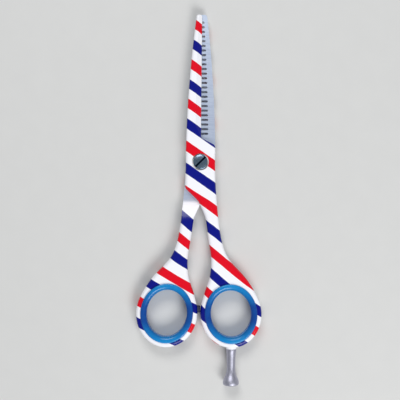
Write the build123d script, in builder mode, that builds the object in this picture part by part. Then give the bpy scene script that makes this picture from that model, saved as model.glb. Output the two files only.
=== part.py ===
"""Thinning shears: two forged levers on one pivot, ring liners, finger rest and bumper.

The shears lie flat and closed. +Y runs from the pivot to the blade tips, +Z is up, and the origin is where
the pivot axis meets the flat that the shears lie on. The finger lever is on top, the thumb lever below it,
and the plane between their inner faces is the ride plane. All sizes are millimetres.
"""

from build123d import *
from math import cos, hypot, radians, sin, sqrt, tan
import os

# Overall sizes
BLADE_REACH = 70.0  # pivot axis to blade tips
RING_REACH = 71.8  # pivot axis to ring centres
LEVER_THICKNESS = 2.8  # one lever at the pivot
RIDE_GAP = 0.2  # free gap between the two inner faces

# Finger holes, liners and rings
HOLE_WIDTH = 18.9  # free opening inside a liner, across
HOLE_LENGTH = 22.2  # free opening inside a liner, along
LINER_WALL = 2.2  # liner between the opening and the steel
LINER_LIP = 0.8  # how far a liner's lip covers the steel
LINER_CROWN = 0.9  # how far a lip stands off the steel face
LINER_ROUND = 1.9  # rounding of the opening's rim
LIP_ROUND = 0.7
RIM = 2.1  # steel left showing around a lip
RING_GAP = 1.3  # between the two closed rings
RING_TILT = 6.0  # degrees a ring's long axis leans in at the top

# Pivot area and blades
PIVOT_HALF_WIDTH = 7.0
SHOULDER_HEEL = 11.5  # pivot axis to where the cutting edge begins
SHOULDER_DROP = 3.5  # how much lower the shoulder is at its outer end
SHOULDER_ROUND = 2.0
SPLIT_Y = 4.0  # where the blade's rounding gives way to the handle's
HEEL_ROUND = 1.2
CROTCH_REACH = 18.6  # pivot axis to where the shanks part
CROTCH_OFFSET = 0.8  # how far past the centre line a lever reaches there
CROTCH_LEAN = 25.5  # degrees a shank's inner side leans out as it leaves the crotch
FLANK_DROP = 12.4  # pivot axis to the corner where the far flank turns in
FLANK_FLARE = 0.2  # how much wider the pivot area is at that corner
FLANK_ROUND = 2.5
TIP_HALF_WIDTH = 2.45
TIP_THICKNESS = 1.7
TIP_ROUND = 1.25
SPINE_POWER = 1.9  # how late the spine curves in towards the tip
SPINE_STATIONS = (0.75, 0.50, 0.25)  # shares of the blade's reach where the spine is set out
BLADE_ROUND = 1.1  # outer face of the blade
HANDLE_ROUND = 1.75  # both faces of the handle, and the outer face of the pivot area
RAMP_LENGTH = 9.0  # over which a shank gains its full depth
RAMP_START = 1.9  # from the crotch to where the ramp begins, past where the levers part
RAMP_ENTRY = 0.35  # slope of the ramp at its top
RAMP_EXIT = 0.05  # slope of the ramp at its foot

# Shank sides, as (share of the way from the crotch to the ring centre, distance)
OUTER_SIDE = ((0.08, 1.4), (0.33, 3.3))  # distance outside the pivot area's side
OUTER_FLARE = ((0.50, 16.2), (0.66, 8.6))  # distance inside the ring's outermost side
INNER_SIDE = ((0.15, 2.6), (0.30, 3.8), (0.55, 5.6), (0.68, 4.9))  # distance from the centre line
RING_JOIN = 22.0  # degrees round the ring where the outer side meets it
RING_SWEEP = 224.0  # degrees of ring left clear of the shank

# Cutting edge and comb
PLAIN_OVERLAP = 0.15  # plain edge past the centre line
PLAIN_LAND = 0.35  # thickness left at the plain edge
PLAIN_BEVEL = 42.0  # degrees
COMB_OVERLAP = 1.2  # tooth tips past the centre line
COMB_LAND = 1.1  # thickness left at the tooth tips
COMB_BEVEL = 16.0  # degrees
BEVEL_RUN_OUT = 6.0  # over which a bevel grows from nothing
HOLLOW_DEPTH = 0.1  # depth of the grind in a blade's inner face
HOLLOW_RADIUS = 26.0
TOOTH_PITCH = 2.2
TOOTH_SLOT = 1.05
TOOTH_SHARE = 0.6  # tooth length over the blade's width there
TIP_NOTCH = 0.34  # radius of the hair notch in a tooth tip
COMB_MARGIN = 2.0  # plain blade left at each end of the comb

# Pivot
SHOULDER_DIAMETER = 4.0
THREAD_DIAMETER = 3.2
RUNNING = 0.04  # radial clearance of anything that turns
HEAD_DIAMETER = 6.9
HEAD_RIM = 0.7  # height of the head's straight side
HEAD_DOME = 0.55  # rise of the dome above it
HEAD_SINK = 0.2  # how deep the head sits in its counterbore
HEAD_ROUND = 0.23
SLOT_WIDTH = 0.95
SLOT_DEPTH = 0.75
SLOT_ANGLE = 45.0
BUSH_WALL = 0.6
FLANGE_DIAMETER = 8.0
FLANGE_THICKNESS = 0.4
SPRING_DIAMETER = 6.4
SPRING_THICKNESS = 0.25
SPRING_DISH = 0.15
NUT_FLANGE_DIAMETER = 8.6
NUT_BARREL_DIAMETER = 5.6
NUT_FLOOR = 0.5
NUT_CHAMFER = 0.3
RIDE_WASHER_DIAMETER = 9.6
RIDE_WASHER_THICKNESS = 0.5
SEAT_SLACK = 0.03  # around and over a washer in its recess
END_GAP = 0.06  # between ends that must not touch

# Finger rest and bumper
REST_LENGTH = 17.4
REST_COLLAR_RADIUS = 2.4
REST_COLLAR_SHARE = 0.05  # of the length, where the collar's straight side ends
REST_NECK_RADIUS = 2.05
REST_NECK_SHARE = 0.40  # of the length, where the neck is thinnest
REST_FLARE = 0.67  # of the foot's radius, part of the way down the flare
REST_FLARE_SHARE = 0.72
REST_FOOT_SHARE = 0.93  # of the length, where the foot is widest
REST_TAPER = 0.15  # mm in for each mm down, where the collar runs into the neck
STUD_DIAMETER = 2.5
STUD_LENGTH = 2.0
STUD_CLEARANCE = 0.3  # below the stud's end
BOSS_HEIGHT = 0.6
BUMPER_RISE = 2.0  # above the ring centres
BUMPER_DIAMETER = 3.4
BUMPER_SEAT = 0.9  # how deep its head sits in the ring
BUMPER_STEM_DIAMETER = 2.0
BUMPER_STEM_LENGTH = 0.9
BUMPER_GAP = 0.025  # to the finger ring's innermost point when closed
BUMPER_ROUND = 0.5

# Making
CUT_MARGIN = 1.0  # how far a cutting shape runs past what it cuts
LEVEL = 0.9  # Z of a unit normal that counts as level

# Worked out from the sizes above
RING_DEPTH = 2 * LEVER_THICKNESS + RIDE_GAP
MID = RING_DEPTH / 2 + LINER_CROWN  # height of the ride plane
INNER = MID + RIDE_GAP / 2  # the finger lever's inner face
TOP = INNER + LEVER_THICKNESS
UNDER = 2 * MID - TOP  # the thumb lever's outer face
LEAN = radians(RING_TILT)
SEAT_X = HOLE_WIDTH / 2 + LINER_WALL
SEAT_Y = HOLE_LENGTH / 2 + LINER_WALL
RING_X = SEAT_X + LINER_LIP + RIM
RING_Y = SEAT_Y + LINER_LIP + RIM
RING_HALF_SPAN = hypot(RING_X * cos(LEAN), RING_Y * sin(LEAN))
RING_HALF_RISE = hypot(RING_Y * cos(LEAN), RING_X * sin(LEAN))
RING_CENTRE = (RING_GAP / 2 + RING_HALF_SPAN, -RING_REACH)
RING_BOTTOM = -RING_REACH - RING_HALF_RISE
REST_X = RING_CENTRE[0] + (RING_Y**2 - RING_X**2) * sin(LEAN) * cos(LEAN) / RING_HALF_RISE
REST_FOOT_RADIUS = MID  # the foot touches the flat that the shears lie on
BUSH_BORE = SHOULDER_DIAMETER / 2 + RUNNING
BUSH_RADIUS = BUSH_BORE + BUSH_WALL
FLANGE_FLOOR = TOP - HEAD_SINK - SPRING_DISH - SPRING_THICKNESS - FLANGE_THICKNESS
WASHER_HALF = RIDE_WASHER_THICKNESS / 2
NUT_TOP = MID - WASHER_HALF - END_GAP
Y_LINE = Axis((0, 0, MID), (0, 1, 0))


def spine_half_width(y):
    """Distance of a blade's spine from the centre line, at y above the pivot."""
    taper = (max(y, 0) / BLADE_REACH) ** SPINE_POWER
    return PIVOT_HALF_WIDTH - (PIVOT_HALF_WIDTH - TIP_HALF_WIDTH) * taper


def shank_y(share):
    """Height of a point at a share of the way down from the crotch to the ring centre."""
    return -CROTCH_REACH - share * (RING_REACH - CROTCH_REACH)


def ring_inner_side(rise):
    """Distance of the finger ring's inner side from the centre line, at a rise above its centre."""
    a = (cos(LEAN) / RING_X) ** 2 + (sin(LEAN) / RING_Y) ** 2
    b = 2 * sin(LEAN) * cos(LEAN) * (1 / RING_X**2 - 1 / RING_Y**2)
    c = (sin(LEAN) / RING_X) ** 2 + (cos(LEAN) / RING_Y) ** 2
    root = sqrt((b * rise) ** 2 - 4 * a * (c * rise**2 - 1))
    return RING_CENTRE[0] - (b * rise + root) / (2 * a)


def lever_outline(overlap):
    """Plan outline of the finger lever: blade, pivot area, shank and ring as one closed face."""
    ring_right = RING_CENTRE[0] + RING_X
    shoulder = (PIVOT_HALF_WIDTH, SHOULDER_HEEL - SHOULDER_DROP)
    heel = (overlap, SHOULDER_HEEL)
    tip = (overlap, BLADE_REACH)
    tip_back = (-spine_half_width(BLADE_REACH), BLADE_REACH)
    spine = [(-spine_half_width(BLADE_REACH * share), BLADE_REACH * share) for share in SPINE_STATIONS]
    flank = (-PIVOT_HALF_WIDTH - FLANK_FLARE, -FLANK_DROP)
    crotch = (-CROTCH_OFFSET, -CROTCH_REACH)
    outer_points = [(PIVOT_HALF_WIDTH + out, shank_y(share)) for share, out in OUTER_SIDE]
    outer_points += [(ring_right - inside, shank_y(share)) for share, inside in OUTER_FLARE]
    inner_points = [(out, shank_y(share)) for share, out in INNER_SIDE]
    crotch_heading = (sin(radians(CROTCH_LEAN)), -cos(radians(CROTCH_LEAN)))
    with BuildSketch(Plane.XY.offset(INNER)) as outline:
        with BuildLine():
            ring = EllipticalCenterArc(
                RING_CENTRE,
                RING_X,
                RING_Y,
                start_angle=RING_JOIN,
                arc_size=-RING_SWEEP,
                rotation=RING_TILT,
            )
            Spline((PIVOT_HALF_WIDTH, 0), *outer_points, ring @ 0, tangents=[(0, -1), ring % 0])
            Polyline((PIVOT_HALF_WIDTH, 0), shoulder, heel, tip, tip_back)
            Spline(tip_back, *spine, (-PIVOT_HALF_WIDTH, 0))
            Polyline((-PIVOT_HALF_WIDTH, 0), flank, crotch)
            Spline(crotch, *inner_points, ring @ 1, tangents=[crotch_heading, -(ring % 1)])
        make_face()
        rounds = [(tip, TIP_ROUND), (tip_back, TIP_ROUND), (shoulder, SHOULDER_ROUND)]
        rounds += [(heel, HEEL_ROUND), (flank, FLANK_ROUND)]
        for corner, radius in rounds:
            fillet(outline.vertices().sort_by_distance(corner)[0], radius)
    return outline.sketch


def rim_edges(part, facing, split_y):
    """Edges around a part's faces that face up (+1) or down (-1), except where it was parted at split_y."""
    flats = part.faces().filter_by(lambda face: face.normal_at().Z * facing > LEVEL)
    edges = [edge for face in flats for edge in face.edges()]
    outer = ShapeList(edge for edge in edges if sum(edge.is_same(other) for other in edges) == 1)
    parted = outer.filter_by_position(Axis.Y, split_y - RUNNING, split_y + RUNNING)
    return ShapeList(edge for edge in outer if edge not in parted)


def plan_part(overlap, beyond):
    """The lever's plan outline on one side of the split line: the blade's (+1) or the handle's (-1)."""
    side = Align.MIN if beyond > 0 else Align.MAX
    outline = lever_outline(overlap)
    with BuildSketch(Plane.XY.offset(INNER)) as plan:
        add(outline)
        with Locations((0, SPLIT_Y)):
            Rectangle(3 * RING_REACH, 2 * RING_REACH, align=(Align.CENTER, side), mode=Mode.INTERSECT)
    return plan.sketch


def blade_plate(overlap):
    """The blade and the front of the pivot area, thinning in an arc towards the tip."""
    back_start = (SHOULDER_HEEL - SHOULDER_DROP, TOP)
    back_end = (BLADE_REACH, INNER + TIP_THICKNESS)
    plan = plan_part(overlap, 1)
    with BuildPart() as blade:
        add(plan)
        extrude(amount=LEVER_THICKNESS)
        with BuildSketch(Plane.YZ.offset(-RING_X)):
            with BuildLine():
                Polyline(back_start, (BLADE_REACH, TOP + CUT_MARGIN), back_end)
                TangentArc(back_start, back_end, tangent=(1, 0))
            make_face()
        extrude(amount=2 * RING_X, mode=Mode.SUBTRACT)
        fillet(rim_edges(blade, 1, SPLIT_Y), BLADE_ROUND)
    return blade.part


def handle_plate(overlap):
    """The rear of the pivot area and the handle's half on the same side of the ride plane."""
    plan = plan_part(overlap, -1)
    with BuildPart() as handle:
        add(plan)
        extrude(amount=LEVER_THICKNESS)
        fillet(rim_edges(handle, 1, SPLIT_Y), HANDLE_ROUND)
    return handle.part


def handle_depth():
    """The rest of the shank and ring, which reaches past the ride plane, with its ramp at the crotch."""
    ramp_top = -CROTCH_REACH - RAMP_START
    ramp_foot = ramp_top - RAMP_LENGTH
    below = UNDER - CUT_MARGIN
    side = (Align.CENTER, Align.MAX)
    outline = lever_outline(PLAIN_OVERLAP)
    with BuildPart() as depth:
        with BuildSketch(Plane.XY.offset(INNER)):
            add(outline)
            with Locations((0, -CROTCH_REACH)):
                Rectangle(3 * RING_REACH, 2 * RING_REACH, align=side, mode=Mode.INTERSECT)
        extrude(amount=UNDER - INNER)
        fillet(rim_edges(depth, -1, -CROTCH_REACH), HANDLE_ROUND)
        with BuildSketch(Plane.YZ.offset(-RING_X)):
            with BuildLine():
                slopes = [(-1, -RAMP_ENTRY), (-1, -RAMP_EXIT)]
                ramp = Spline((ramp_top, INNER), (ramp_foot, UNDER), tangents=slopes)
                Polyline(ramp @ 1, (ramp_foot, below), (0, below), (0, INNER), ramp @ 0)
            make_face()
        extrude(amount=3 * RING_X, mode=Mode.SUBTRACT)
    return depth.part


def bevel_cutter(overlap, land, angle):
    """Wedge that thins a blade towards its edge, growing from nothing at the heel."""
    slope = tan(radians(angle))
    edge_x = overlap + CUT_MARGIN
    back_x = -PIVOT_HALF_WIDTH
    low = INNER + land - CUT_MARGIN * slope
    high = low + (edge_x - back_x) * slope
    full_y = SHOULDER_HEEL + BEVEL_RUN_OUT
    with BuildPart() as wedge:
        for y, lift in ((SHOULDER_HEEL, LEVER_THICKNESS - land), (full_y, 0)):
            with BuildSketch(Plane.XZ.offset(-y)):
                with BuildLine():
                    Polyline((edge_x, low + lift), (back_x, high + lift), (edge_x, high + lift), close=True)
                make_face()
        loft(ruled=True)
        extrude(wedge.faces().sort_by(Axis.Y)[-1], amount=BLADE_REACH)
    return wedge.part


def hollow_cutter(overlap):
    """Long cylinder that hollows a blade's inner face and runs out at the tip."""
    centre_z = INNER - HOLLOW_RADIUS
    heel_x = (overlap - PIVOT_HALF_WIDTH) / 2
    start = Vector(heel_x, SHOULDER_HEEL + COMB_MARGIN, centre_z + HOLLOW_DEPTH)
    end = Vector((overlap - TIP_HALF_WIDTH) / 2, BLADE_REACH, centre_z)
    with BuildPart() as grind:
        with BuildSketch(Plane(origin=start, z_dir=end - start)):
            Circle(HOLLOW_RADIUS)
        extrude(amount=(end - start).length)
    return grind.part


def lever_blank(overlap, land, bevel):
    """A whole lever in the finger lever's place, before its pivot holes."""
    stock = [blade_plate(overlap), handle_plate(overlap), handle_depth()]
    grinds = [bevel_cutter(overlap, land, bevel), hollow_cutter(overlap)]
    with BuildPart() as blank:
        add(stock)
        add(grinds, mode=Mode.SUBTRACT)
        with BuildSketch(Plane.XY):
            with Locations(Location(RING_CENTRE, RING_TILT)):
                Ellipse(SEAT_X, SEAT_Y)
        extrude(amount=2 * MID, mode=Mode.SUBTRACT)
        with BuildSketch(Plane.XY.offset(MID - WASHER_HALF)):
            Circle(RIDE_WASHER_DIAMETER / 2 + SEAT_SLACK)
        extrude(amount=RIDE_WASHER_THICKNESS + SEAT_SLACK, mode=Mode.SUBTRACT)
    return blank.part


def make_finger_lever():
    """Upper lever: plain blade, bush seat, and the boss that takes the finger rest."""
    boss_plane = Plane(origin=(REST_X, RING_BOTTOM - BOSS_HEIGHT, MID), z_dir=(0, 1, 0))
    blank = lever_blank(PLAIN_OVERLAP, PLAIN_LAND, PLAIN_BEVEL)
    with BuildPart() as finger_lever:
        add(blank)
        with BuildSketch(Plane.XY):
            Circle(BUSH_RADIUS)
        extrude(amount=2 * MID, mode=Mode.SUBTRACT)
        with BuildSketch(Plane.XY.offset(FLANGE_FLOOR)):
            Circle(FLANGE_DIAMETER / 2)
        extrude(amount=LEVER_THICKNESS, mode=Mode.SUBTRACT)
        with BuildSketch(boss_plane):
            Circle(REST_COLLAR_RADIUS)
        extrude(amount=BOSS_HEIGHT + RIM / 2)
        with BuildSketch(boss_plane):
            Circle(STUD_DIAMETER / 2 + RUNNING)
        extrude(amount=STUD_LENGTH + STUD_CLEARANCE, mode=Mode.SUBTRACT)
    finger_lever.part.label = "finger_lever"
    export_step(finger_lever.part, "parts/finger_lever.step")


def make_thumb_lever():
    """Under lever: comb blade, nut seat, and the socket for the bumper."""
    blade_width = PIVOT_HALF_WIDTH + COMB_OVERLAP
    first = SHOULDER_HEEL + COMB_MARGIN
    count = int((BLADE_REACH - COMB_MARGIN - TIP_ROUND - first) / TOOTH_PITCH) + 1
    slots = [first + index * TOOTH_PITCH for index in range(count)]
    notches = [(-COMB_OVERLAP, y + TOOTH_PITCH / 2) for y in slots[:-1]]
    blank = lever_blank(COMB_OVERLAP, COMB_LAND, COMB_BEVEL).rotate(Y_LINE, 180)
    socket = bumper_plane()
    with BuildPart() as thumb_lever:
        add(blank)
        with BuildSketch(Plane.XY):
            for y in slots:
                root = TOOTH_SHARE * (spine_half_width(y) + COMB_OVERLAP) - COMB_OVERLAP
                with Locations((root - TOOTH_SLOT / 2 - blade_width / 2, y)):
                    Rectangle(blade_width, TOOTH_SLOT)
                with Locations((root - TOOTH_SLOT / 2, y)):
                    Circle(TOOTH_SLOT / 2)
            with Locations(*notches):
                Circle(TIP_NOTCH)
        extrude(amount=2 * MID, mode=Mode.SUBTRACT)
        with BuildSketch(Plane.XY):
            Circle(NUT_BARREL_DIAMETER / 2)
        extrude(amount=2 * MID, mode=Mode.SUBTRACT)
        with BuildSketch(socket):
            Circle(BUMPER_DIAMETER / 2)
        extrude(amount=BUMPER_SEAT, both=True, mode=Mode.SUBTRACT)
        with BuildSketch(socket):
            Circle(BUMPER_STEM_DIAMETER / 2)
        extrude(amount=-BUMPER_SEAT - BUMPER_STEM_LENGTH, mode=Mode.SUBTRACT)
    thumb_lever.part.label = "thumb_lever"
    export_step(thumb_lever.part, "parts/thumb_lever.step")


def bumper_plane():
    """Plane across the bumper at the thumb ring's inner side, facing the finger ring."""
    return Plane(origin=(-ring_inner_side(BUMPER_RISE), -RING_REACH + BUMPER_RISE, MID), z_dir=(1, 0, 0))


def make_pivot_screw():
    """Slotted screw: domed head, plain shoulder that turns in the bush, threaded end in the nut."""
    head_under = TOP - HEAD_SINK
    head_side = head_under + HEAD_RIM
    radius = HEAD_DIAMETER / 2
    shoulder_end = NUT_TOP + END_GAP
    with BuildPart() as pivot_screw:
        with BuildSketch(Plane.XZ) as profile:
            with BuildLine():
                Polyline(
                    (0, head_side + HEAD_DOME),
                    (0, NUT_FLOOR + SEAT_SLACK),
                    (THREAD_DIAMETER / 2, NUT_FLOOR + SEAT_SLACK),
                    (THREAD_DIAMETER / 2, shoulder_end),
                    (SHOULDER_DIAMETER / 2, shoulder_end),
                    (SHOULDER_DIAMETER / 2, head_under),
                    (radius, head_under),
                    (radius, head_side),
                )
                TangentArc((0, head_side + HEAD_DOME), (radius, head_side), tangent=(1, 0))
            make_face()
            fillet(profile.vertices().sort_by_distance((radius, head_side))[0], HEAD_ROUND)
        revolve(axis=Axis.Z)
        with BuildSketch(Plane.XY.offset(head_side + HEAD_DOME - SLOT_DEPTH)):
            Rectangle(HEAD_DIAMETER * 2, SLOT_WIDTH, rotation=SLOT_ANGLE)
        extrude(amount=SLOT_DEPTH, mode=Mode.SUBTRACT)
    pivot_screw.part.label = "pivot_screw"
    export_step(pivot_screw.part, "parts/pivot_screw.step")


def make_dish_spring():
    """Dished steel washer between the bush's flange and the screw head."""
    inner = SHOULDER_DIAMETER / 2 + RUNNING
    outer = SPRING_DIAMETER / 2
    low = FLANGE_FLOOR + FLANGE_THICKNESS
    high = low + SPRING_DISH
    with BuildPart() as dish_spring:
        with BuildSketch(Plane.XZ):
            with BuildLine():
                Polyline(
                    (outer, low),
                    (outer, low + SPRING_THICKNESS),
                    (inner, high + SPRING_THICKNESS),
                    (inner, high),
                    close=True,
                )
            make_face()
        revolve(axis=Axis.Z)
    dish_spring.part.label = "dish_spring"
    export_step(dish_spring.part, "parts/dish_spring.step")


def make_pivot_bush():
    """Flanged nylon bush that lines the finger lever's pivot hole."""
    end = MID + WASHER_HALF + SEAT_SLACK + END_GAP
    with BuildPart() as pivot_bush:
        with BuildSketch(Plane.XY.offset(end)):
            Circle(BUSH_RADIUS)
        extrude(amount=FLANGE_FLOOR - end)
        with BuildSketch(Plane.XY.offset(FLANGE_FLOOR)):
            Circle(FLANGE_DIAMETER / 2)
        extrude(amount=FLANGE_THICKNESS)
        with BuildSketch(Plane.XY):
            Circle(BUSH_BORE)
        extrude(amount=2 * MID, mode=Mode.SUBTRACT)
    pivot_bush.part.label = "pivot_bush"
    export_step(pivot_bush.part, "parts/pivot_bush.step")


def make_ride_washer():
    """Thin washer let into both inner faces, so that the levers ride on it at the pivot."""
    with BuildPart() as ride_washer:
        with BuildSketch(Plane.XY.offset(MID - WASHER_HALF)):
            Circle(RIDE_WASHER_DIAMETER / 2)
            Circle(BUSH_RADIUS, mode=Mode.SUBTRACT)
        extrude(amount=RIDE_WASHER_THICKNESS)
    ride_washer.part.label = "ride_washer"
    export_step(ride_washer.part, "parts/ride_washer.step")


def make_pivot_nut():
    """Closed nut pressed into the thumb lever; its flat underside is what the shears lie on."""
    with BuildPart() as pivot_nut:
        with BuildSketch(Plane.XY):
            Circle(NUT_FLANGE_DIAMETER / 2)
        extrude(amount=UNDER)
        chamfer(pivot_nut.edges().group_by(Axis.Z)[0], NUT_CHAMFER)
        with BuildSketch(Plane.XY.offset(UNDER)):
            Circle(NUT_BARREL_DIAMETER / 2)
        extrude(amount=NUT_TOP - UNDER)
        with BuildSketch(Plane.XY.offset(NUT_FLOOR)):
            Circle(THREAD_DIAMETER / 2 + RUNNING)
        extrude(amount=NUT_TOP, mode=Mode.SUBTRACT)
    pivot_nut.part.label = "pivot_nut"
    export_step(pivot_nut.part, "parts/pivot_nut.step")


def make_ring_inserts():
    """Soft liner of each ring: a sleeve whose lips fold over the steel on both faces."""
    lip_x = SEAT_X + LINER_LIP
    lip_y = SEAT_Y + LINER_LIP
    place = Location(RING_CENTRE, RING_TILT)
    with BuildPart() as finger_ring_insert:
        with BuildSketch(Plane.XY):
            with Locations(place):
                Ellipse(lip_x, lip_y)
                Ellipse(HOLE_WIDTH / 2, HOLE_LENGTH / 2, mode=Mode.SUBTRACT)
        extrude(amount=2 * MID)
        ends = finger_ring_insert.edges().group_by(Axis.Z)
        for face_edges in (ends[0], ends[-1]):
            opening, lip = face_edges.sort_by(SortBy.LENGTH)
            fillet(opening, LINER_ROUND)
            fillet(lip, LIP_ROUND)
        with BuildSketch(Plane.XY.offset(UNDER)):
            with Locations(place):
                Ellipse(lip_x + CUT_MARGIN, lip_y + CUT_MARGIN)
                Ellipse(SEAT_X, SEAT_Y, mode=Mode.SUBTRACT)
        extrude(amount=RING_DEPTH, mode=Mode.SUBTRACT)
    other_side = finger_ring_insert.part.rotate(Y_LINE, 180)
    with BuildPart() as thumb_ring_insert:
        add(other_side)
    finger_ring_insert.part.label = "finger_ring_insert"
    export_step(finger_ring_insert.part, "parts/finger_ring_insert.step")
    thumb_ring_insert.part.label = "thumb_ring_insert"
    export_step(thumb_ring_insert.part, "parts/thumb_ring_insert.step")


def make_finger_rest():
    """Turned finger rest: stud, collar, waisted neck and flared foot."""
    collar_y = RING_BOTTOM - BOSS_HEIGHT
    foot_y = collar_y - REST_LENGTH
    waist_sizes = (
        (REST_COLLAR_SHARE, REST_COLLAR_RADIUS),
        (REST_NECK_SHARE, REST_NECK_RADIUS),
        (REST_FLARE_SHARE, REST_FLARE * REST_FOOT_RADIUS),
        (REST_FOOT_SHARE, REST_FOOT_RADIUS),
    )
    waist_points = [(REST_X + radius, collar_y - share * REST_LENGTH) for share, radius in waist_sizes]
    with BuildPart() as finger_rest:
        with BuildSketch(Plane.XY.offset(MID)) as profile:
            with BuildLine():
                waist = Spline(*waist_points, tangents=[(-REST_TAPER, -1), (0, -1)])
                Polyline(
                    waist @ 0,
                    (REST_X + REST_COLLAR_RADIUS, collar_y),
                    (REST_X + STUD_DIAMETER / 2, collar_y),
                    (REST_X + STUD_DIAMETER / 2, collar_y + STUD_LENGTH),
                    (REST_X, collar_y + STUD_LENGTH),
                    (REST_X, foot_y),
                )
                Spline((REST_X, foot_y), waist @ 1, tangents=[(1, 0), (0, 1)])
            make_face()
        revolve(axis=Axis((REST_X, 0, MID), (0, 1, 0)))
    finger_rest.part.label = "finger_rest"
    export_step(finger_rest.part, "parts/finger_rest.step")


def make_bumper():
    """Rubber stop plugged into the thumb ring, with a domed face towards the finger ring."""
    face_x = RING_GAP / 2 - BUMPER_GAP
    length = BUMPER_SEAT + ring_inner_side(BUMPER_RISE) + face_x
    seat = bumper_plane().offset(-BUMPER_SEAT)
    with BuildPart() as bumper:
        with BuildSketch(seat):
            Circle(BUMPER_DIAMETER / 2)
        extrude(amount=length)
        fillet(bumper.edges().group_by(Axis.X)[-1], BUMPER_ROUND)
        with BuildSketch(seat):
            Circle(BUMPER_STEM_DIAMETER / 2)
        extrude(amount=-BUMPER_STEM_LENGTH)
    bumper.part.label = "bumper"
    export_step(bumper.part, "parts/bumper.step")


os.makedirs("parts", exist_ok=True)
make_finger_lever()
make_thumb_lever()
make_pivot_screw()
make_dish_spring()
make_pivot_bush()
make_ride_washer()
make_pivot_nut()
make_ring_inserts()
make_finger_rest()
make_bumper()
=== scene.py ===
"""Thinning shears: a finish for each piece, a pale floor, soft light and a camera straight above.

Every piece keeps its own shape and place. Patterns are set out in millimetres from the pivot, +Y towards the
blade tips, and they stay on a lever when it turns.
"""

from math import pi, radians, tan

import bpy
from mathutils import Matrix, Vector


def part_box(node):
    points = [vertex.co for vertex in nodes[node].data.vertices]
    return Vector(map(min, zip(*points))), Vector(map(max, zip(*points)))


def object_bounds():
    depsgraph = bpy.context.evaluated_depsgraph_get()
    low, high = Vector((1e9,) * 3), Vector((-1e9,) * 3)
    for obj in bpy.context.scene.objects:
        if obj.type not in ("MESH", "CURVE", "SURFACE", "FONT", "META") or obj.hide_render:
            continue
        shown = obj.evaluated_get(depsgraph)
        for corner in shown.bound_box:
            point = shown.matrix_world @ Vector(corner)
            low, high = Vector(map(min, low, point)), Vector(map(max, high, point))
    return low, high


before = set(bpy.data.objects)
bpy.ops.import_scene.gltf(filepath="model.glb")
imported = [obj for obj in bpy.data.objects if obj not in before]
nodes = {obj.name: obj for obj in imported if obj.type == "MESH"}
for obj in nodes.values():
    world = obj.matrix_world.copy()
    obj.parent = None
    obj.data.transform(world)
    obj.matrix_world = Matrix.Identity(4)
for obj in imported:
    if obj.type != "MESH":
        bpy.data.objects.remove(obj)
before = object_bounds()

MM = 0.001

# Enamel bands: red, white, blue, white, each a quarter of the pattern
BAND_SHARE = 0.25
BAND_BLUR = 0.008  # how soft a band's edge is, as a share of the pattern
BAND_WANDER = 0.008  # how far a band's edge wanders, as a share of the pattern
HALF_PATTERN = 0.5  # from the middle of a blue band to the middle of a red one, as a share of the pattern

# Where the middle of a red or a blue band crosses a lever's centre line, by turns, in mm from the pivot
FINGER_BANDS = (73, 63, 53, 43, 33, 23.5, 13.8, 2.9, -7.5, -18.8, -32.2, -46.2, -59.5, -71.5, -82, -93)
THUMB_BANDS = (
    73, 63, 53, 43, 33, 23, 13, 4, -5, -14.8, -29.4, -37.3, -45.6, -54.9, -62.6, -72.9, -82.9, -92,
)
# Slant of the bands, as (mm from the pivot, degrees)
FINGER_SLANT = (
    (75, 35), (-8, 34), (-18, 40), (-32, 45), (-45, 47), (-57, 45), (-70, 39), (-80, 35), (-95, 35),
)
THUMB_SLANT = ((75, 35), (-8, 36), (-27, 34), (-45, 31), (-54, 27), (-95, 26))
# A lever's centre line, as (mm from the pivot, mm out from the middle)
CENTRE_LINE = ((75, 0), (-12, 0), (-19, 2), (-32, 5.8), (-45, 10), (-57, 13.2), (-68, 15.2), (-95, 15.2))
LOW_END, HIGH_END = -100, 80  # mm from the pivot between which the curves are drawn

# Bare steel: the inner faces, from the blade to where the shank's ramp begins
RIDE_PLANE = 3.8  # mm above the floor
BARE_RIM = 0.45  # mm from the ride plane to where a lever's paint begins
BARE_BLUR = 0.04  # mm over which it begins
BARE_END = -19.4  # mm from the pivot
BARE_FADE = 1.8  # mm over which overspray thins out at that end
COMB_START = 12.2  # mm from the pivot to the first ground gullet
GULLET_ROOT = 4.35  # mm from the middle to just past the gullets' ends, at the pivot
GULLET_TAPER = 0.048  # mm less of that for each mm towards the tip

SLOT_DEPTH = 0.75  # mm from the top of the screw's dome to the floor of its slot
SLOT_MARGIN = 0.02  # mm above that floor up to which painted shade lies
SLOT_SHADE_FADE = 0.1  # mm over which it ends
SCREW_RINGS = 0.35  # mm between the lathe's rings on the screw and the nut
REST_RINGS = 0.25  # mm between them on the finger rest: coarser than the real 0.08 mm so that they show

PARTING_LINE = 0.12  # mm to either side of a liner's middle that its parting line takes
HIGHLIGHT_START = 0.25  # share of the way to a liner's end at which its painted highlight begins to lighten the blue

# Floor, light and camera
FLOOR_HALF = 2.0  # metres
FLOOR_DROP = 0.02  # mm below the shears
SURROUNDINGS = 0.38  # strength
BOX_WIDTH = 0.5  # metres
BOX_LENGTH = 0.35  # metres
NORTH_PLACE = (-0.12, 0.6, 0.62)  # metres from the pivot
NORTH_WATTS = 3.7
SOUTH_PLACE = (0.28, -0.62, 0.6)
SOUTH_WATTS = 5.1
LENS = 85.0  # mm
SENSOR = 36.0  # mm
MARGIN = 1.08  # width of the view over the length of the shears
ROLL = 0.6  # degrees


def linear(hex_colour):
    """An sRGB hex colour as linear RGBA."""
    values = [int(hex_colour[i : i + 2], 16) / 255 for i in (1, 3, 5)]
    return [v / 12.92 if v <= 0.04045 else ((v + 0.055) / 1.055) ** 2.4 for v in values] + [1]


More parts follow.
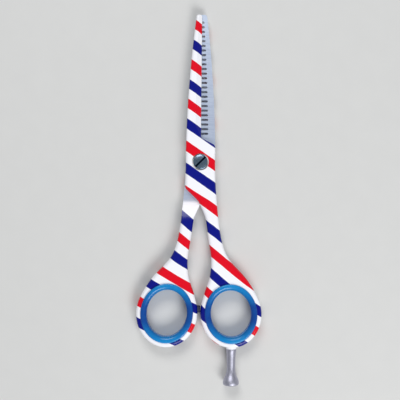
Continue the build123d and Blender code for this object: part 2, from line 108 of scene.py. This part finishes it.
def add(tree, kind, inputs, **settings):
    """Add a node with its settings. An input is a value, a socket, or a node whose result feeds it."""
    made = tree.nodes.new(kind)
    for name, value in settings.items():
        setattr(made, name, value)
    for key, value in inputs.items():
        if isinstance(value, bpy.types.Node):
            value = next(socket for socket in value.outputs if socket.enabled)
        if isinstance(value, bpy.types.NodeSocket):
            tree.links.new(value, made.inputs[key])
        else:
            made.inputs[key].default_value = value
    return made


def start_finish(name):
    """An empty material, its tree, and the point's place on its own piece in mm."""
    material = bpy.data.materials.new(name)
    material.use_nodes = True
    tree = material.node_tree
    tree.nodes.clear()
    place = add(tree, "ShaderNodeTexCoord", {}).outputs["Object"]
    return material, tree, add(tree, "ShaderNodeVectorMath", {0: place, "Scale": 1 / MM}, operation="SCALE")


def end_finish(tree, inputs, relief, depth):
    """Join the surface and its relief, of a depth in mm, to the material's output."""
    bump = add(tree, "ShaderNodeBump", {"Height": relief, "Distance": depth * MM})
    surface = add(tree, "ShaderNodeBsdfPrincipled", inputs | {"Normal": bump})
    add(tree, "ShaderNodeOutputMaterial", {"Surface": surface})


def drawn_curve(tree, along, pairs):
    """A value drawn along a lever from (mm from the pivot, value) pairs."""
    values = [value for _, value in pairs]
    low, high = min(values), max(values)
    reach = HIGH_END - LOW_END
    share = add(tree, "ShaderNodeMapRange", {0: along, 1: LOW_END, 2: HIGH_END})
    curve = add(tree, "ShaderNodeFloatCurve", {"Value": share})
    points = sorted(((at - LOW_END) / reach, (value - low) / (high - low)) for at, value in pairs)
    drawn = curve.mapping.curves[0].points
    drawn[0].location = points[0]
    drawn[-1].location = points[-1]
    for point in points[1:-1]:
        drawn.new(*point)
    curve.mapping.update()
    return add(tree, "ShaderNodeMapRange", {0: curve, 3: low, 4: high})


def band_colours(tree, mm, x, y, bands, slant, side):
    """Enamel's colour: slanted red and navy bands on white, slightly wandering as masked edges do."""
    middle = drawn_curve(tree, y, CENTRE_LINE)
    centre = add(tree, "ShaderNodeMath", {0: middle, 1: side}, operation="MULTIPLY")
    out = add(tree, "ShaderNodeMath", {0: x, 1: centre}, operation="SUBTRACT")
    slope = drawn_curve(tree, y, [(at, tan(radians(angle))) for at, angle in slant])
    crossing = add(tree, "ShaderNodeMath", {0: out, 1: slope, 2: y}, operation="MULTIPLY_ADD")
    count = drawn_curve(tree, crossing, [(at, index * HALF_PATTERN) for index, at in enumerate(bands)])
    noise = add(tree, "ShaderNodeTexNoise", {"Vector": mm, "Scale": 1 / 2.5})
    wander = add(tree, "ShaderNodeMapRange", {0: noise, 3: -BAND_WANDER, 4: BAND_WANDER})
    shifted = add(tree, "ShaderNodeMath", {0: count, 1: wander})
    turn = add(tree, "ShaderNodeMath", {0: shifted, 1: HALF_PATTERN}, operation="PINGPONG")
    edge = BAND_SHARE / 2
    navy = add(tree, "ShaderNodeMapRange", {0: turn, 1: edge - BAND_BLUR, 2: edge, 3: 1.0, 4: 0.0})
    red_edge = HALF_PATTERN - edge
    red = add(tree, "ShaderNodeMapRange", {0: turn, 1: red_edge, 2: red_edge + BAND_BLUR})
    base = add(tree, "ShaderNodeMix", {0: red, 6: linear("#F5F5FA"), 7: linear("#E0001E")}, data_type="RGBA")
    return add(tree, "ShaderNodeMix", {0: navy, 6: base, 7: linear("#000D80")}, data_type="RGBA")


def bare_share(tree, x, y, z, outward, comb):
    """1 where a lever is bare steel: its inner face, its rim beside that, and the comb's gullets."""
    above = add(tree, "ShaderNodeMath", {0: z, 1: RIDE_PLANE}, operation="SUBTRACT")
    away = add(tree, "ShaderNodeMath", {0: above, 1: outward}, operation="MULTIPLY")
    rim = {0: away, 1: BARE_RIM, 2: BARE_RIM + BARE_BLUR, 3: 1.0, 4: 0.0}
    near = add(tree, "ShaderNodeMapRange", rim)
    ahead = add(tree, "ShaderNodeMapRange", {0: y, 1: BARE_END, 2: BARE_END + BARE_FADE})
    bare = add(tree, "ShaderNodeMath", {0: near, 1: ahead}, operation="MULTIPLY")
    if not comb:
        return bare
    root = add(tree, "ShaderNodeMath", {0: y, 1: -GULLET_TAPER, 2: GULLET_ROOT}, operation="MULTIPLY_ADD")
    toothed = add(tree, "ShaderNodeMath", {0: x, 1: root}, operation="LESS_THAN")
    along = add(tree, "ShaderNodeMath", {0: y, 1: COMB_START}, operation="GREATER_THAN")
    ground = add(tree, "ShaderNodeMath", {0: toothed, 1: along}, operation="MULTIPLY")
    return add(tree, "ShaderNodeMath", {0: bare, 1: ground}, operation="MAXIMUM")


def striped_enamel(name, bands, slant, side, outward, comb):
    """Forged steel, sprayed with striped enamel under clear lacquer, its inner face ground bright.

    side is 1 where the lever's ring is towards +X, and outward is 1 where its painted face is up.
    To the eye: a wet gloss over flat, full colours with crisp edges, a faint orange peel in the reflections,
    and satin steel with fine cross lines where the levers ride on each other.
    """
    material, tree, mm = start_finish(name)
    x, y, z = add(tree, "ShaderNodeSeparateXYZ", {0: mm}).outputs
    painted = band_colours(tree, mm, x, y, bands, slant, side)
    bare = bare_share(tree, x, y, z, outward, comb)

    # Grinding lines across the blade, 0.3 mm apart: coarser than the real 0.05 mm grit so that they show
    drawn_out = add(tree, "ShaderNodeMapping", {"Vector": mm, "Scale": (0.05, 1, 0.3)})
    lines = add(tree, "ShaderNodeTexNoise", {"Vector": drawn_out, "Scale": 1 / 0.3, "Detail": 3.0})
    tones = {0: lines, 6: linear("#BCCAE4"), 7: linear("#E2ECFC")}
    steel = add(tree, "ShaderNodeMix", tones, data_type="RGBA")
    colour = add(tree, "ShaderNodeMix", {0: bare, 6: painted, 7: steel}, data_type="RGBA")

    # Handling has dulled the lacquer a little, in patches a few mm across
    scuffs = add(tree, "ShaderNodeTexNoise", {"Vector": mm, "Scale": 1 / 4.0, "Detail": 4.0})
    paint_roughness = add(tree, "ShaderNodeMapRange", {0: scuffs, 3: 0.16, 4: 0.32})
    steel_roughness = add(tree, "ShaderNodeMapRange", {0: lines, 3: 0.38, 4: 0.52})
    roughness = add(tree, "ShaderNodeMix", {0: bare, 2: paint_roughness, 3: steel_roughness})
    lacquer = add(tree, "ShaderNodeMapRange", {0: bare, 3: 0.18, 4: 0.0})

    # Orange peel 1.1 mm across on the lacquer, grinding lines on the steel
    orange_peel = add(tree, "ShaderNodeTexNoise", {"Vector": mm, "Scale": 1 / 1.1, "Detail": 1.0})
    relief = add(tree, "ShaderNodeMix", {0: bare, 2: orange_peel, 3: lines})
    inputs = {
        "Base Color": colour,
        "Metallic": bare,
        "Roughness": roughness,
        "Specular IOR Level": 0.2,
        "Coat Weight": lacquer,
        "Coat Roughness": 0.05,
    }
    end_finish(tree, inputs, relief, 0.012)
    return material


def lathe_rings(tree, distance, pitch):
    """Rings a pitch apart in mm, along or out from the axis that a piece was turned on."""
    phase = add(tree, "ShaderNodeMath", {0: distance, 1: 2 * pi / pitch}, operation="MULTIPLY")
    return add(tree, "ShaderNodeMath", {0: phase}, operation="SINE")


def polished_stainless(name, slot_floor):
    """Stainless steel, turned and polished, with faint rings from the lathe; its tone is painted dark and
    cool, a painted reflection of dark surroundings.

    Painted shade darkens whatever lies below slot_floor, in mm above the floor: the floor of the screw's slot
    and all of the screw below it.
    """
    material, tree, mm = start_finish(name)
    flat = add(tree, "ShaderNodeVectorMath", {0: mm, 1: (1, 1, 0)}, operation="MULTIPLY")
    radius = add(tree, "ShaderNodeVectorMath", {0: flat}, operation="LENGTH").outputs["Value"]
    marks = add(tree, "ShaderNodeTexNoise", {"Vector": mm, "Scale": 1 / 0.6, "Detail": 4.0})
    # Painted reflection: the steel's tones are painted dark blue-grey, standing in for dark surroundings
    # mirrored in the polish.
    tones = {0: marks, 6: linear("#3A5A78"), 7: linear("#A2B6C6")}
    painted_reflection_steel = add(tree, "ShaderNodeMix", tones, data_type="RGBA")
    z = add(tree, "ShaderNodeSeparateXYZ", {0: mm}).outputs["Z"]
    # Painted shade: below the slot's floor the steel turns near-black navy, standing in for the shade in the
    # slot.
    depths = {0: z, 1: slot_floor, 2: slot_floor + SLOT_SHADE_FADE, 3: 1.0, 4: 0.0}
    slot_shade = add(tree, "ShaderNodeMapRange", depths)
    slot_shaded = {0: slot_shade, 6: painted_reflection_steel, 7: linear("#0B2136")}
    inputs = {
        "Base Color": add(tree, "ShaderNodeMix", slot_shaded, data_type="RGBA"),
        "Metallic": 1.0,
        "Roughness": add(tree, "ShaderNodeMapRange", {0: marks, 3: 0.13, 4: 0.26}),
    }
    end_finish(tree, inputs, lathe_rings(tree, radius, SCREW_RINGS), 0.001)
    return material


def tempered_spring_steel():
    """Spring steel, rolled and tempered: darker than the screw, with a straw tint left by the heat."""
    material, tree, mm = start_finish("tempered_spring_steel")
    tint = add(tree, "ShaderNodeTexNoise", {"Vector": mm, "Scale": 1 / 1.5, "Detail": 3.0})
    tones = {0: tint, 6: linear("#6C7078"), 7: linear("#9A958A")}
    inputs = {
        "Base Color": add(tree, "ShaderNodeMix", tones, data_type="RGBA"),
        "Metallic": 1.0,
        "Roughness": add(tree, "ShaderNodeMapRange", {0: tint, 3: 0.25, 4: 0.45}),
    }
    end_finish(tree, inputs, tint, 0.004)
    return material


def moulded_nylon():
    """Natural nylon, injection-moulded: milky, a little translucent, with a fine satin grain."""
    material, tree, mm = start_finish("moulded_nylon")
    cloud = add(tree, "ShaderNodeTexNoise", {"Vector": mm, "Scale": 1 / 1.8, "Detail": 3.0})
    grain = add(tree, "ShaderNodeTexNoise", {"Vector": mm, "Scale": 1 / 0.25})
    tones = {0: cloud, 6: linear("#E2E3E0"), 7: linear("#F4F4F1")}
    inputs = {
        "Base Color": add(tree, "ShaderNodeMix", tones, data_type="RGBA"),
        "Roughness": add(tree, "ShaderNodeMapRange", {0: cloud, 3: 0.36, 4: 0.48}),
        "IOR": 1.53,
        "Subsurface Weight": 0.25,
        "Subsurface Scale": 0.8 * MM,
    }
    end_finish(tree, inputs, grain, 0.006)
    return material


def moulded_elastomer():
    """Thermoplastic elastomer from a polished mould: wet blue, with painted shade at the sides of the oval.

    A painted highlight makes the blue lighter and greener towards the oval's two ends, standing in for light
    on its top and bottom arcs.
    """
    material, tree, mm = start_finish("moulded_thermoplastic_elastomer")
    _, y, z = add(tree, "ShaderNodeSeparateXYZ", {0: mm}).outputs
    low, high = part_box("finger_ring_insert")
    middle_y = (low.y + high.y) / 2 / MM
    end_y = (high.y - low.y) / 2 / MM
    # Painted highlight and shade: the blue is deep at the oval's sides and lightens towards its two ends,
    # with a little random swirl mixed in.
    from_middle = add(tree, "ShaderNodeMath", {0: y, 1: middle_y}, operation="SUBTRACT")
    along = add(tree, "ShaderNodeMath", {0: from_middle}, operation="ABSOLUTE")
    ends_highlight = add(tree, "ShaderNodeMapRange", {0: along, 1: end_y * HIGHLIGHT_START, 2: end_y})
    swirl = add(tree, "ShaderNodeTexNoise", {"Vector": mm, "Scale": 1 / 5.0, "Detail": 3.0})
    highlight_and_swirl = add(tree, "ShaderNodeMix", {0: 0.25, 2: ends_highlight, 3: swirl})
    skin = add(tree, "ShaderNodeTexNoise", {"Vector": mm, "Scale": 1 / 0.9})
    tones = {0: highlight_and_swirl, 6: linear("#00368E"), 7: linear("#0090D2")}
    inputs = {
        "Base Color": add(tree, "ShaderNodeMix", tones, data_type="RGBA"),
        "Roughness": add(tree, "ShaderNodeMapRange", {0: swirl, 3: 0.2, 4: 0.34}),
        "IOR": 1.5,
        "Specular IOR Level": 0.3,
        "Coat Weight": 0.25,
        "Coat Roughness": 0.1,
        "Subsurface Weight": 0.1,
        "Subsurface Scale": 0.7 * MM,
    }
    # The mould's parting line stands a little proud round the middle of the opening
    at_middle = add(tree, "ShaderNodeMath", {0: z, 1: RIDE_PLANE, 2: PARTING_LINE}, operation="COMPARE")
    relief = add(tree, "ShaderNodeMath", {0: skin, 1: 0.3, 2: at_middle}, operation="MULTIPLY_ADD")
    end_finish(tree, inputs, relief, 0.02)
    return material


def satin_chrome():
    """Satin chrome on turned steel: pale grey with a violet cast, and faint rings left by the lathe."""
    material, tree, mm = start_finish("satin_chrome_on_turned_steel")
    y = add(tree, "ShaderNodeSeparateXYZ", {0: mm}).outputs["Y"]
    clouds = add(tree, "ShaderNodeTexNoise", {"Vector": mm, "Scale": 1 / 1.5, "Detail": 3.0})
    tones = {0: clouds, 6: linear("#A6A6B6"), 7: linear("#C8C8D6")}
    inputs = {
        "Base Color": add(tree, "ShaderNodeMix", tones, data_type="RGBA"),
        "Metallic": 1.0,
        "Roughness": add(tree, "ShaderNodeMapRange", {0: clouds, 3: 0.4, 4: 0.52}),
    }
    end_finish(tree, inputs, lathe_rings(tree, y, REST_RINGS), 0.006)
    return material


def moulded_nitrile_rubber():
    """Nitrile rubber, compression-moulded: near-black navy, matt, with a dusty bloom."""
    material, tree, mm = start_finish("moulded_nitrile_rubber")
    bloom = add(tree, "ShaderNodeTexNoise", {"Vector": mm, "Scale": 1 / 0.7, "Detail": 4.0})
    tones = {0: bloom, 6: linear("#0A1024"), 7: linear("#1E2640")}
    inputs = {
        "Base Color": add(tree, "ShaderNodeMix", tones, data_type="RGBA"),
        "Roughness": add(tree, "ShaderNodeMapRange", {0: bloom, 3: 0.55, 4: 0.75}),
        "IOR": 1.52,
    }
    end_finish(tree, inputs, bloom, 0.01)
    return material


def matt_laminate():
    """Laminate table top, pressed matt: pale and almost even, so that only soft shadows show on it."""
    material, tree, mm = start_finish("matt_laminate")
    fleck = add(tree, "ShaderNodeTexNoise", {"Vector": mm, "Scale": 1 / 9.0, "Detail": 3.0})
    tones = {0: fleck, 6: linear("#CFCFCD"), 7: linear("#D3D3D1")}
    colour = add(tree, "ShaderNodeMix", tones, data_type="RGBA")
    end_finish(tree, {"Base Color": colour, "Roughness": 0.7}, fleck, 0.01)
    return material


def dress(node, material):
    """Give a piece one finish all over."""
    piece = nodes[node]
    if not piece.material_slots:
        piece.data.materials.append(material)
    for place in piece.material_slots:
        place.material = material


def make_floor():
    """A wide flat floor just under the pieces that the shears lie on."""
    signs = ((-1, -1), (1, -1), (1, 1), (-1, 1))
    corners = [(x * FLOOR_HALF, y * FLOOR_HALF, -FLOOR_DROP * MM) for x, y in signs]
    mesh = bpy.data.meshes.new("floor")
    mesh.from_pydata(corners, [], [(0, 1, 2, 3)])
    floor = bpy.data.objects.new("floor", mesh)
    bpy.context.scene.collection.objects.link(floor)
    floor.data.materials.append(matt_laminate())


def soft_box(name, place, watts, target):
    """A rectangular soft box at a place in metres, aimed at a target."""
    light = bpy.data.lights.new(name, "AREA")
    light.shape = "RECTANGLE"
    light.size = BOX_WIDTH
    light.size_y = BOX_LENGTH
    light.energy = watts
    box = bpy.data.objects.new(name, light)
    box.location = place
    box.rotation_euler = (target - box.location).to_track_quat("-Z", "Y").to_euler()
    bpy.context.scene.collection.objects.link(box)


def make_world():
    """Even pale surroundings, so that steel has something to reflect."""
    world = bpy.data.worlds.new("studio")
    bpy.context.scene.world = world
    world.use_nodes = True
    background = world.node_tree.nodes["Background"]
    background.inputs["Color"].default_value = linear("#F0F3F8")
    background.inputs["Strength"].default_value = SURROUNDINGS


def make_camera(middle, reach):
    """Camera straight above, with the tips at the top of the view and a slight roll."""
    camera = bpy.data.cameras.new("camera")
    camera.lens = LENS
    camera.sensor_width = SENSOR
    holder = bpy.data.objects.new("camera", camera)
    height = reach * MARGIN * LENS / SENSOR
    holder.location = (middle.x, middle.y, middle.z + height)
    holder.rotation_euler = (0, 0, radians(ROLL))
    bpy.context.scene.collection.objects.link(holder)
    bpy.context.scene.camera = holder


slot_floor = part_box("pivot_screw")[1].z / MM - SLOT_DEPTH + SLOT_MARGIN
under_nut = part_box("pivot_nut")[0].z / MM - 1.0  # below all of it, as it has no slot
nylon = moulded_nylon()
elastomer = moulded_elastomer()
finishes = {
    "finger_lever": striped_enamel(
        "striped_enamel_finger_lever", FINGER_BANDS, FINGER_SLANT, side=1, outward=1, comb=False
    ),
    "thumb_lever": striped_enamel(
        "striped_enamel_thumb_lever", THUMB_BANDS, THUMB_SLANT, side=-1, outward=-1, comb=True
    ),
    "pivot_screw": polished_stainless("polished_stainless_screw", slot_floor),
    "pivot_nut": polished_stainless("polished_stainless_nut", under_nut),
    "dish_spring": tempered_spring_steel(),
    "pivot_bush": nylon,
    "ride_washer": nylon,
    "finger_ring_insert": elastomer,
    "thumb_ring_insert": elastomer,
    "finger_rest": satin_chrome(),
    "bumper": moulded_nitrile_rubber(),
}
for node, material in finishes.items():
    dress(node, material)

low, high = before
middle = (low + high) / 2
make_floor()
make_world()
soft_box("north_box", NORTH_PLACE, NORTH_WATTS, middle)
soft_box("south_box", SOUTH_PLACE, SOUTH_WATTS, middle)
make_camera(middle, high.y - low.y)
bpy.context.scene.view_settings.view_transform = "Standard"
